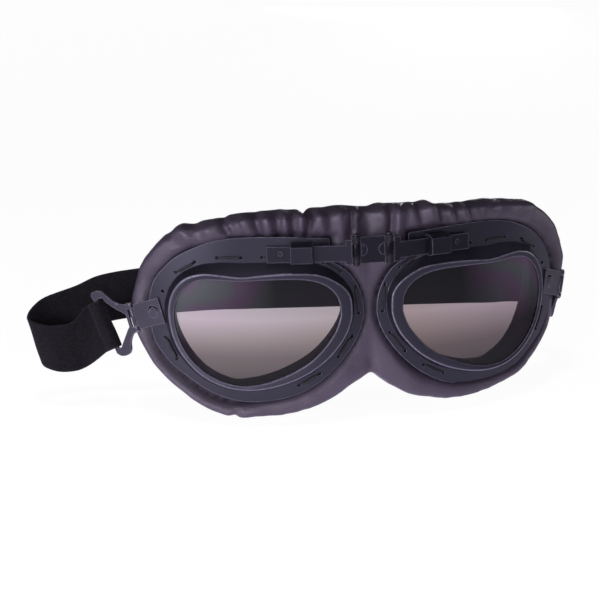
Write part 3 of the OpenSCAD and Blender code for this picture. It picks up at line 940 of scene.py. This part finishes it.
def bar_fold(side):
    """Stations of the band folded round the buckle bar, from its end behind to the front."""
    matrix = bar_matrix(side)
    r = BAR_LOOP_R
    section = [(10.5, .95), (8, .85), (5.5, 1.05), (3.0, 1.65), (1.2, r), (0, r)]
    for angle in np.radians(np.linspace(105, 255, 9)):
        section.append((r * math.cos(angle), r * math.sin(angle)))
    section += [(0, -r), (1.2, -r), (3.0, -1.75), (5.6, -1.0)]
    across = np.array(matrix.to_3x3() @ Vector((0, 0, 1)))
    across /= np.linalg.norm(across)
    return [list(matrix @ Vector((x, y, 0))) + list(across * STRAP_W) for x, y in section]


def band_profile():
    """Section of the band: place across its width, and through its thickness."""
    columns, margin, half = 22, .5, STRAP_T / 2
    flat = [STRAP_HALF - margin - (STRAP_W - 2 * margin) * j / columns
            for j in range(columns + 1)]
    corner = (STRAP_HALF - .14, half * .72)
    profile = [(-u, half) for u in flat]
    profile += [corner, (STRAP_HALF, 0), (corner[0], -corner[1])]
    profile += [(u, -half) for u in flat]
    profile += [(-corner[0], -corner[1]), (-STRAP_HALF, 0), (-corner[0], corner[1])]
    return profile


def sweep_band(name, centres, across, start_length):
    """Band through the centres; start_length carries the weave on from the piece before."""
    tangents = unit_rows(np.gradient(centres, axis=0))
    normals = unit_rows(np.cross(tangents, across))
    profile = band_profile()
    size = len(profile)
    lengths = start_length + lengths_along(centres)
    vertices = []
    for i in range(len(centres)):
        for u, w in profile:
            # slight ripple of used elastic, half as strong at the edges
            ripple = .10 * math.sin(lengths[i] * .55 + u * .35)
            ripple *= 1 if abs(u) < STRAP_HALF - .4 else .5
            vertices.append(centres[i] + across[i] * u + normals[i] * (w + ripple))
    ob = make(name, vertices, tube_faces(len(centres), size), ELASTIC)
    fix_normals(ob)
    mesh = ob.data
    uv_layer = mesh.uv_layers.new(name="UVMap")
    corners = np.zeros(len(mesh.loops), np.int32)
    mesh.loops.foreach_get("vertex_index", corners)
    places = np.array([u for u, _ in profile])
    uv = np.stack([places[corners % size], lengths[corners // size]], 1).astype(np.float32)
    uv_layer.data.foreach_set("uv", uv.ravel())
    mesh.set_sharp_from_angle(angle=math.radians(60))
    return ob


def strap_stations(rows, step=.9):
    """Smoothed band centres and unit width vectors."""
    rows = smooth_line(rows, 24)
    length = lengths_along(rows[:, :3])[-1]
    rows = resample(rows, max(int(length / step), 3), loop=False)
    return rows[:, :3], unit_rows(rows[:, 3:])


def strap_side(side, name):
    fold, path = bar_fold(side), STRAP_PATHS[name]
    centres, across = strap_stations(fold + path)
    lengths = lengths_along(centres)

    def nearest(station):
        return int(np.argmin(np.linalg.norm(centres - np.array(station[:3]), axis=1)))

    fold_end, path_start = nearest(fold[-1]), nearest(path[0])
    past_start = np.arange(len(centres)) > path_start + 20
    cuts = [0, fold_end, path_start]
    for x in STRAP_CUTS[name]:
        close = np.where(past_start & (np.abs(centres[:, 0] - x) < 1.2))[0]
        cuts.append(int(close[-1]))
    ends = cuts[1:] + [len(centres) - 1]
    # neighbouring pieces share their end station
    pieces = [sweep_band(f"strap_{name}_{piece}", centres[a:b + 1], across[a:b + 1],
                         lengths[a] * -side)
              for piece, a, b in zip(STRAP_PIECES, cuts, ends)]
    points = [tuple(centres[i] / 1000) for i in cuts]
    fold_piece, link, loop, bend_a, bend_b, rear = pieces
    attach(fold_piece, f"{name}_buckle")
    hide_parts(f"{name}_strap_end")
    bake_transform(link)
    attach(loop, f"{name}_eye")
    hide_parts(f"{name}_strap_run")
    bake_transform(bend_a)
    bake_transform(bend_b)
    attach(rear, "bridge")
    if side < 0:
        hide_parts("strap_band")


for side, name in SIDES:
    strap_side(side, name)

# ------------------------------------------------------------------ face cushion
# mm outward at equal steps round the outline, clockwise from the top of the nose
TRIM = [
    -0.8, -1.5, -1.0, -0.2, -1.7, -2.3, -2.1, -2.0, -1.9, -0.3, -0.5, -0.4, 0.4, 1.2, 0.2,
    -2.4, -2.0, -1.8, -1.3, -1.8, -3.1, -4.2, -4.8, -4.5, -3.2, -3.0, -1.6, -1.1, -2.0,
    -3.5, -3.3, -3.5, -3.2, -3.0, -2.8, -0.0, 1.3, 1.5, 1.1, 0.6, 0.2, -0.3, -0.9, -1.9,
    -2.4, -3.2, -2.6, -1.8, -3.3, -2.2, -1.3, -0.8, 0.4, -0.3, -1.0, -0.9]
# Folds of the upper edge: x, rise (negative sinks), half width, reach in from the edge,
# slant, share of the rise that also moves the outline
FOLDS = [
    (-74.5, 1.3, 2.4, 8, .2, .8), (-80.5, -.4, 1.6, 8, .2, .8), (-69, -.4, 2.6, 9, .0, .3),
    (-59, -2.5, 1.35, 10, .30, .42), (-54, -.9, 1.4, 12, .35, .1),
    (-46, -2.2, 1.3, 11, .25, .35), (-37.6, -1.5, 1.3, 14, .08, .15),
    (-31.4, -1.5, 1.2, 14, 0, .15), (-24.5, -3.2, 1.3, 12, -.25, 1.0),
    (-16.5, -1.0, 1.8, 12, 0, .2), (-7.2, -2.2, 1.2, 20, .03, .15),
    (-2, -1.6, 2.4, 9, -.5, .3), (9.6, -2.5, 1.2, 21, -.02, .2), (16.5, -.7, 2, 10, 0, .2),
    (21.5, -1.6, 1.6, 9, .3, .5), (31, -1.8, 1.6, 9, .3, .35), (37.5, -1.4, 1.3, 10, .35, .2),
    (44, -1.8, 1.5, 10, .35, .35), (51, -.8, 2.0, 9, .2, .3), (60, -.7, 2.4, 9, 0, .3),
    (70, -.6, 2.8, 9, 0, .3), (80, -.6, 2.4, 10, -.2, .4), (-4.2, 1.3, 1.5, 16, 0, .1),
    (4.0, .6, 2.4, 12, 0, .2), (12.6, 1.4, 1.6, 20, 0, .1), (26.5, 1.2, 2.0, 8, .1, .5),
    (-34.5, 1.3, 1.5, 15, 0, .1), (-41.2, 1.3, 1.7, 15, .05, .1),
    (-28, 1.3, 1.3, 15, -.05, .1), (-50.5, 1.0, 2.2, 12, .2, .1), (-12, .8, 2, 16, 0, .1),
    (-20.5, .8, 1.4, 13, 0, .1), (-64.5, .8, 2.6, 12, .1, .1), (34.2, .7, 1.2, 10, .3, .2),
    (40.8, .7, 1.2, 10, .3, .2)]
CUSHION_BACK_R = 127.                    # flatter curve of the face side
CUSHION_MID_DEPTH = 17.4                 # depth behind the plate at the curve's middle
CUSHION_CUTS = (-8.5, -4.5, 0, 4.5, 8.5)  # x of the cuts between its pieces
CUSHION_PIECES = ("left_pad", "left_pad_slide", "left_pad_hinge",
                  "right_pad_hinge", "right_pad_slide", "right_pad")

half_edge = CUSHION_EDGE[CUSHION_EDGE[:, 0] > .01]
OUTLINE = resample(np.vstack([[0, 42.2], half_edge, [0, -29.6],
                              (half_edge * [-1, 1])[::-1]]), 420)
EYE_HOLE = resample(grow(RIM_INNER, 1.2), 200)
PLATE_LOOP = resample(PLATE_EDGE, 400)


def evaluated_copy(ob, **options):
    """Mesh of ob with its modifiers applied; ob is removed."""
    depsgraph = bpy.context.evaluated_depsgraph_get()
    mesh = bpy.data.meshes.new_from_object(ob.evaluated_get(depsgraph), **options)
    bpy.data.objects.remove(ob)
    return mesh


def cushion_slab():
    """Flat slab with two eye openings; y runs from the lens side to the face side."""
    bm = bmesh.new()
    for loop in (grow(OUTLINE, .7), EYE_HOLE, EYE_HOLE * [-1, 1]):
        ring = [bm.verts.new((p[0] / 1000, 0, p[1] / 1000)) for p in loop]
        for a, b in zip(ring, ring[1:] + ring[:1]):
            bm.edges.new((a, b))
    bmesh.ops.triangle_fill(bm, edges=bm.edges[:], use_beauty=True)
    extruded = bmesh.ops.extrude_face_region(bm, geom=bm.faces[:])["geom"]
    for item in extruded:
        if isinstance(item, bmesh.types.BMVert):
            item.co.y += CUSHION_T / 1000
    bmesh.ops.recalc_face_normals(bm, faces=bm.faces)
    mesh = bpy.data.meshes.new("slab")
    bm.to_mesh(mesh)
    bm.free()
    ob = link_object("slab", mesh)
    remesh = ob.modifiers.new("r", "REMESH")
    remesh.mode = "VOXEL"
    remesh.voxel_size = VOXEL / 1000
    smooth = ob.modifiers.new("s", "SMOOTH")
    smooth.factor = .5
    smooth.iterations = int(9 * (1.5 / VOXEL) ** 2)  # equal rounding at any voxel size
    return evaluated_copy(ob)


def smooth_noise(x, seed, wavelength):
    count = 400
    heights = np.random.default_rng(seed).normal(size=count)
    t = (x / wavelength) % (count - 1)
    i = np.floor(t).astype(int)
    share = smoothstep(t - i, 0, 1)
    return heights[i] * (1 - share) + heights[(i + 1) % count] * share


def gathers(near, arc, edge, depth, across):
    """Folds and ripples by the edge: their rise, and the part that moves the outline."""
    top = smoothstep(near[:, 1], 12, 26)
    rise, notch = np.zeros(len(arc)), np.zeros(len(arc))
    for x, height, width, reach, slant, share in FOLDS:
        offset = near[:, 0] - x - slant * edge - slant * 4 * depth
        fold = height * bell(offset, width) * (1 - smoothstep(edge, reach * .35, reach)) * top
        rise += fold
        notch += fold * share
    # small ripples of the upper edge, then of the rest
    upper = smooth_noise(arc + 40, 3, 5.2) * .26 + smooth_noise(arc, 5, 2.6) * .10
    upper *= top * (1 - smoothstep(edge, 2, 9)) * (.6 + .8 * smoothstep(depth, .1, .7))
    lower = smooth_noise(arc, 9, 13) * .22 + smooth_noise(arc, 11, 5) * .08
    lower *= (1 - top) * (1 - smoothstep(edge, 3, 10))
    for ripple in (upper, lower):
        rise += ripple
        notch += ripple * .6
    # nick in the lower left edge
    nick = (-1.0 * bell(near[:, 0], centre=-57, width=1.3) * (near[:, 1] < -20)
            * (1 - smoothstep(edge, 1, 7)))
    # dip in the lower edge at the middle
    dip = -1.5 * bell(across, width=2.0) * (near[:, 1] < 0) * (1 - smoothstep(edge, 4, 16))
    rise += nick + dip * .5
    notch += nick + dip
    return rise, notch


def opening_flare(hole_normal, hole_gap, depth):
    """Widening of the eye openings towards the face."""
    temple, nose, above, below = (
        np.maximum(part, 0) ** 1.5 for part in
        (hole_normal[:, 0], -hole_normal[:, 0], hole_normal[:, 1], -hole_normal[:, 1]))
    by_side = ((temple * -1.15 + nose + above * .5 + below * .2)
               / (temple + nose + above + below) - 1.2 * temple * below)
    return 3.4 * smoothstep(depth, .05, 1.) * (1 - smoothstep(hole_gap, 0, 9)) * by_side


def cushion_mesh():
    """The slab bent between the plates' curve and the face's, with its folds."""
    mesh = cushion_slab()
    places = np.zeros(len(mesh.vertices) * 3)
    mesh.vertices.foreach_get("co", places)
    x, y, z = places.reshape(-1, 3).T * 1000
    sign = np.where(x < 0, -1., 1.)
    across = np.abs(x)
    depth = y / CUSHION_T                # 0 at the lens side, 1 at the face side
    mirrored = np.stack([across, z], 1)

    edge, index, share = nearest_on(np.stack([x, z], 1), OUTLINE)
    steps = np.roll(OUTLINE, -1, 0) - OUTLINE
    step_lengths = np.linalg.norm(steps, axis=1)
    arcs = np.concatenate([[0], np.cumsum(step_lengths)])
    arc = arcs[index] + share * step_lengths[index]
    near = OUTLINE[index] + steps[index] * share[:, None]
    out = outward(OUTLINE)[index]
    plate_gap, _, _ = nearest_on(mirrored, PLATE_LOOP)
    under_plate = inside(mirrored, PLATE_LOOP)
    hole_gap, hole_index, _ = nearest_on(mirrored, EYE_HOLE)
    hole_normal = outward(EYE_HOLE)[hole_index]

    # Lens side: clear of the sheet under the plate, grooved along its edge, drawn in by
    # the stitches there, and swelling out beyond it.
    front = smoothstep(1 - depth, .35, .9)
    gap = np.where(under_plate, 0, plate_gap)
    beyond = 1 - under_plate
    swell = (2.9 * (1 - np.exp(-np.maximum(gap - .5, 0) / 2.0))
             * (.45 + .55 * smoothstep(across, 2, 16)) * front)
    tuck = -.35 * under_plate * front
    groove = -.75 * bell(gap, centre=.45, width=.75) * beyond * front
    pull = (-.3 * bell(gap, centre=1.4, width=1.2) * beyond * front
            * (.5 + .5 * np.sin(arc * .62)))
    rise, notch = gathers(near, arc, edge, depth, across)
    forward = swell + tuck + pull + groove
    forward = forward + rise * 1.25 * (1 - smoothstep(depth, .45, .9))

    # bend: forward is measured square to the plates' curve
    bent = np.clip(across, 0, 99)
    angle = (np.arcsin(np.clip((bent - ARC_X) / BACK_R, -1, .96))
             * smoothstep(across, 0, 14))
    lens_y = arc_y(bent, BACK_R)
    face_y = (arc_y(ARC_X, BACK_R) + CUSHION_MID_DEPTH + CUSHION_BACK_R
              - np.sqrt(CUSHION_BACK_R ** 2 - (bent - ARC_X) ** 2))
    new_y = lens_y + depth * (face_y - lens_y) - np.cos(angle) * forward

    # outline: fuller at mid depth and drawn in at the face side, then notched and trimmed
    roll = bell(edge, width=5.0)
    belly = (.9 * np.sin(np.clip(depth, 0, 1) * math.pi)
             - 1.3 * smoothstep(depth, .6, 1.05)) * roll
    trim = np.interp(arc, np.linspace(0, arcs[-1], len(TRIM) + 1), TRIM + TRIM[:1])
    shift = belly + notch * roll + trim * bell(edge, width=9.0)
    shift = shift * (1 - smoothstep(depth, .8, 1.0) * .2)
    new_x = sign * (bent + np.sin(angle) * forward) + out[:, 0] * shift
    new_z = z + out[:, 1] * shift

    # eye openings: the flare, then the uneven upper edge of each
    flare = opening_flare(hole_normal, hole_gap, depth)
    new_x = new_x + sign * hole_normal[:, 0] * flare
    new_z = new_z + hole_normal[:, 1] * flare
    outer_part = smoothstep(across, 47, 56)
    right_sag = -2.9 * (1 - outer_part) + 1.6 * outer_part + .5 * np.sin(across * .5)
    sag = np.where(sign > 0, right_sag, .3 * np.sin(across * .35))
    new_z = new_z + (sag * np.maximum(hole_normal[:, 1], 0) * smoothstep(depth, .2, 1)
                     * (1 - smoothstep(hole_gap, 0, 7)) * smoothstep(across, 20, 30))

    # valley at the nose, deepest at the face side and above the bridge
    valley = bell(across, width=3.2)
    new_y = (new_y + valley * (.7 * front * smoothstep(z, 24, 40) + .2 * front)
             - valley * 3.0 * smoothstep(depth, .45, 1.))

    mesh.vertices.foreach_set("co", (np.stack([new_x, new_y, new_z], 1) / 1000).ravel())
    # painted shadow along and under the plates' edges, for the leather's colour
    crease = np.maximum(bell(gap, centre=.3, width=.75), .6 * bell(gap, centre=.3, width=2.0))
    add_attribute(mesh, "sdepth", depth)
    add_attribute(mesh, "dout", edge)
    add_attribute(mesh, "crease", crease * (1 - .2 * under_plate) * front)
    add_attribute(mesh, "dhole", hole_gap)
    mesh.update()
    return mesh


def subdivided(mesh):
    ob = link_object("tmp", mesh)
    subsurf = ob.modifiers.new("s", "SUBSURF")
    subsurf.levels = subsurf.render_levels = 1
    return evaluated_copy(ob, preserve_all_data_layers=True,
                          depsgraph=bpy.context.evaluated_depsgraph_get())


def set_whole_normals(mesh):
    """Use the uncut cushion's normals, so that no seam shows; flat caps keep their own."""
    normals = np.zeros(len(mesh.vertices) * 3, np.float32)
    mesh.attributes["nrm"].data.foreach_get("vector", normals)
    corners = np.zeros(len(mesh.loops), np.int32)
    mesh.loops.foreach_get("vertex_index", corners)
    smooth = np.zeros(len(mesh.polygons), bool)
    mesh.polygons.foreach_get("use_smooth", smooth)
    sizes = np.zeros(len(mesh.polygons), np.int32)
    mesh.polygons.foreach_get("loop_total", sizes)
    by_corner = normals.reshape(-1, 3)[corners] * np.repeat(smooth, sizes)[:, None]
    mesh.normals_split_custom_set([tuple(map(float, n)) for n in by_corner])


def cushion_piece(whole, name, low, high):
    """The part of the cut cushion between two x planes, capped at them."""
    bm = whole.copy()
    outside = [f for f in bm.faces if not (low <= f.calc_center_median().x < high)]
    bmesh.ops.delete(bm, geom=outside, context="FACES")
    depth_layer = bm.verts.layers.float.get("sdepth")
    for face in bm.faces:
        depth = sum(v[depth_layer] for v in face.verts) / len(face.verts)
        face.material_index = 1 if depth > .93 else 0  # lining on the face side
        face.smooth = True
    border = [e for e in bm.edges if len(e.link_faces) == 1]
    for x in (low, high):
        rim_edges = [e for e in border if all(abs(v.co.x - x) < 1e-6 for v in e.verts)]
        if not rim_edges:
            continue
        cap = bmesh.ops.triangle_fill(bm, edges=rim_edges, use_beauty=True)["geom"]
        for item in cap:
            if isinstance(item, bmesh.types.BMFace):
                item.smooth = False
    for e in border:
        e.smooth = False
    bmesh.ops.recalc_face_normals(bm, faces=bm.faces)
    mesh = bpy.data.meshes.new(name)
    bm.to_mesh(mesh)
    bm.free()
    mesh.materials.append(LEATHER)
    mesh.materials.append(LINING)
    set_whole_normals(mesh)
    return link_object(name, mesh)


def cut_cushion(mesh):
    whole = bmesh.new()
    whole.from_mesh(mesh)
    for x in CUSHION_CUTS:
        bmesh.ops.bisect_plane(whole, geom=whole.verts[:] + whole.edges[:] + whole.faces[:],
                               plane_co=(x / 1000, 0, 0), plane_no=(1, 0, 0), dist=1e-7)
    whole.normal_update()
    normal_layer = whole.verts.layers.float_vector.new("nrm")
    for v in whole.verts:
        v[normal_layer] = v.normal
    planes = [-1e9, *[x / 1000 for x in CUSHION_CUTS], 1e9]
    pieces = [cushion_piece(whole, name, low, high)
              for name, low, high in zip(CUSHION_PIECES, planes, planes[1:])]
    whole.free()
    return pieces


cushion = cut_cushion(subdivided(cushion_mesh()))
left_pad, left_slide, left_hinge, right_hinge, right_slide, right_pad = cushion
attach(left_pad, "left_eye")
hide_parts("left_cushion_cover", "left_cushion_foam", "left_cushion_lining")
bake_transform(left_slide)
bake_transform(left_hinge)
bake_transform(right_hinge)
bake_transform(right_slide)
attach(right_pad, "right_eye")
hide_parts("right_cushion_cover", "right_cushion_foam", "right_cushion_lining")


# ------------------------------------------------------------------ floor
def floor_material():
    """Near white to the camera; to other rays a glow that fades to the right and behind."""
    # glow by distance from the origin, over 1 m
    glow_stops = [(0, (1.35,) * 3), (.10, (1.15,) * 3), (.22, (.66,) * 3), (.5, (.50,) * 3),
                  (1, (.42,) * 3)]
    material, g = new_material("floor_pale")
    matt = g.add("BsdfDiffuse", {"Color": (.92, .92, .925)})
    white = g.add("Emission", {"Color": (1, 1, 1), "Strength": 1.16})
    seen = g.mix_shader(.82, matt, white)
    position = g.add("NewGeometry", output="Position")
    x, y, _ = g.split(position)
    distance = g.add("VectorMath", {0: position}, output="Value", operation="LENGTH")
    near = g.ramp(g.remap(distance, span=(0, 1.0)), glow_stops)
    to_right = g.remap(x, span=(-.30, .30), to=(1.16, .66))
    to_back = g.remap(y, span=(.12, .5), to=(1, .06))
    glow = g.add("Emission", {"Color": (.88, .80, 1), "Strength": near * to_right * to_back})
    is_camera = g.add("LightPath", output="Is Camera Ray")
    g.finish(g.mix_shader(is_camera, glow, seen))
    return material


def floor_sweep():
    """Floor that curves up into a wall behind the goggles."""
    level, radius, half_width = -47.5, 900, 3200
    profile = [(-1600, level), (900, level)]
    profile += [(900 + radius * math.sin(a), level + radius - radius * math.cos(a))
                for a in np.linspace(.1, math.pi / 2, 12)]
    profile.append((1800, 2600))
    vertices = [(x, y, z) for y, z in profile for x in (-half_width, half_width)]
    faces = [(2 * i, 2 * i + 1, 2 * i + 3, 2 * i + 2) for i in range(len(profile) - 1)]
    return make("floor_sweep", vertices, faces, floor_material())


floor = floor_sweep()


# ------------------------------------------------------------------ world and lights
def studio_world():
    """White to the camera; to other rays grey from below and dark above."""
    # from straight down to straight up
    sky_stops = [
        (0, (.45, .41, .50)), (.46, (.45, .41, .50)), (.52, (.22, .20, .25)),
        (.60, (.05, .045, .055)), (.70, (.012, .011, .013)), (.90, (.02, .02, .022)),
        (1, (.16, .15, .18))]
    world = bpy.data.worlds.new("studio")
    bpy.context.scene.world = world
    g = Graph(world, "ShaderNodeOutputWorld")
    _, _, up = g.split(g.coords("Generated"))
    sky = g.ramp(g.remap(up, span=(-1, 1)), sky_stops)
    surroundings = g.add("Background", {"Color": sky, "Strength": 1.0})
    white = g.add("Background", {"Color": (1, 1, 1), "Strength": 1.0})
    is_camera = g.add("LightPath", output="Is Camera Ray")
    g.finish(g.mix_shader(is_camera, surroundings, white))


# name, location and target in metres, width, height, watts, colour
LIGHTS = [
    ("key_left", (-1.05, -.55, .06), (0, .02, 0), .50, .30, 8.8, (.94, .87, 1.0)),
    ("front_low", (-.30, -1.3, .0), (0, 0, -.01), .6, .18, 1.8, (.94, .89, 1.0)),
    ("front_high", (-.50, -1.2, .25), (0, 0, .02), .55, .16, 3.4, (.94, .88, 1.0)),
    ("back_soft", (.1, 1.35, .02), (0, .05, -.01), .9, .10, 12.0, (.96, .94, 1.0)),
    ("fill_right", (1.15, .05, .10), (.03, .02, 0), .4, .4, 1.9, (.94, .89, 1.0)),
    ("edge_top", (-.15, -.28, 1.0), (0, 0, 0), .14, .14, 1.7, (.96, .93, 1.0))]

studio_world()
for name, location, target, width, height, watts, color in LIGHTS:
    light = bpy.data.lights.new(name, "AREA")
    light.energy = watts
    light.color = color
    light.shape = "RECTANGLE"
    light.size = width
    light.size_y = height
    ob = link_object(name, light)
    ob.location = location
    aim = Vector(target) - Vector(location)
    ob.rotation_euler = aim.to_track_quat("-Z", "Y").to_euler()

# ------------------------------------------------------------------ camera
CAMERA_YAW = math.radians(10.21)         # turned towards +X
CAMERA_DIP = math.radians(13.93)         # looking down
CAMERA_ROLL = math.radians(-1.98)
# where the origin lies as the camera sees it, mm
ORIGIN_RIGHT, ORIGIN_UP, ORIGIN_AHEAD = 30.43, -5.78, 600


def add_camera():
    data = bpy.data.cameras.new("camera")
    camera = link_object("camera", data)
    level = Vector((math.cos(CAMERA_YAW), -math.sin(CAMERA_YAW), 0))
    ahead = Vector((math.sin(CAMERA_YAW) * math.cos(CAMERA_DIP),
                    math.cos(CAMERA_YAW) * math.cos(CAMERA_DIP), -math.sin(CAMERA_DIP)))
    upright = level.cross(ahead)
    right = math.cos(CAMERA_ROLL) * level + math.sin(CAMERA_ROLL) * upright
    up = -math.sin(CAMERA_ROLL) * level + math.cos(CAMERA_ROLL) * upright
    location = -(ORIGIN_RIGHT * right + ORIGIN_UP * up + ORIGIN_AHEAD * ahead) / 1000
    rotation = Matrix((right, up, -ahead)).transposed()
    camera.matrix_world = Matrix.Translation(location) @ rotation.to_4x4()
    data.sensor_width = 36
    data.lens = 86.54424
    data.clip_start = .01
    data.clip_end = 20
    bpy.context.scene.camera = camera


add_camera()
bpy.context.scene.view_settings.view_transform = "Standard"
bpy.context.scene.view_settings.look = "None"
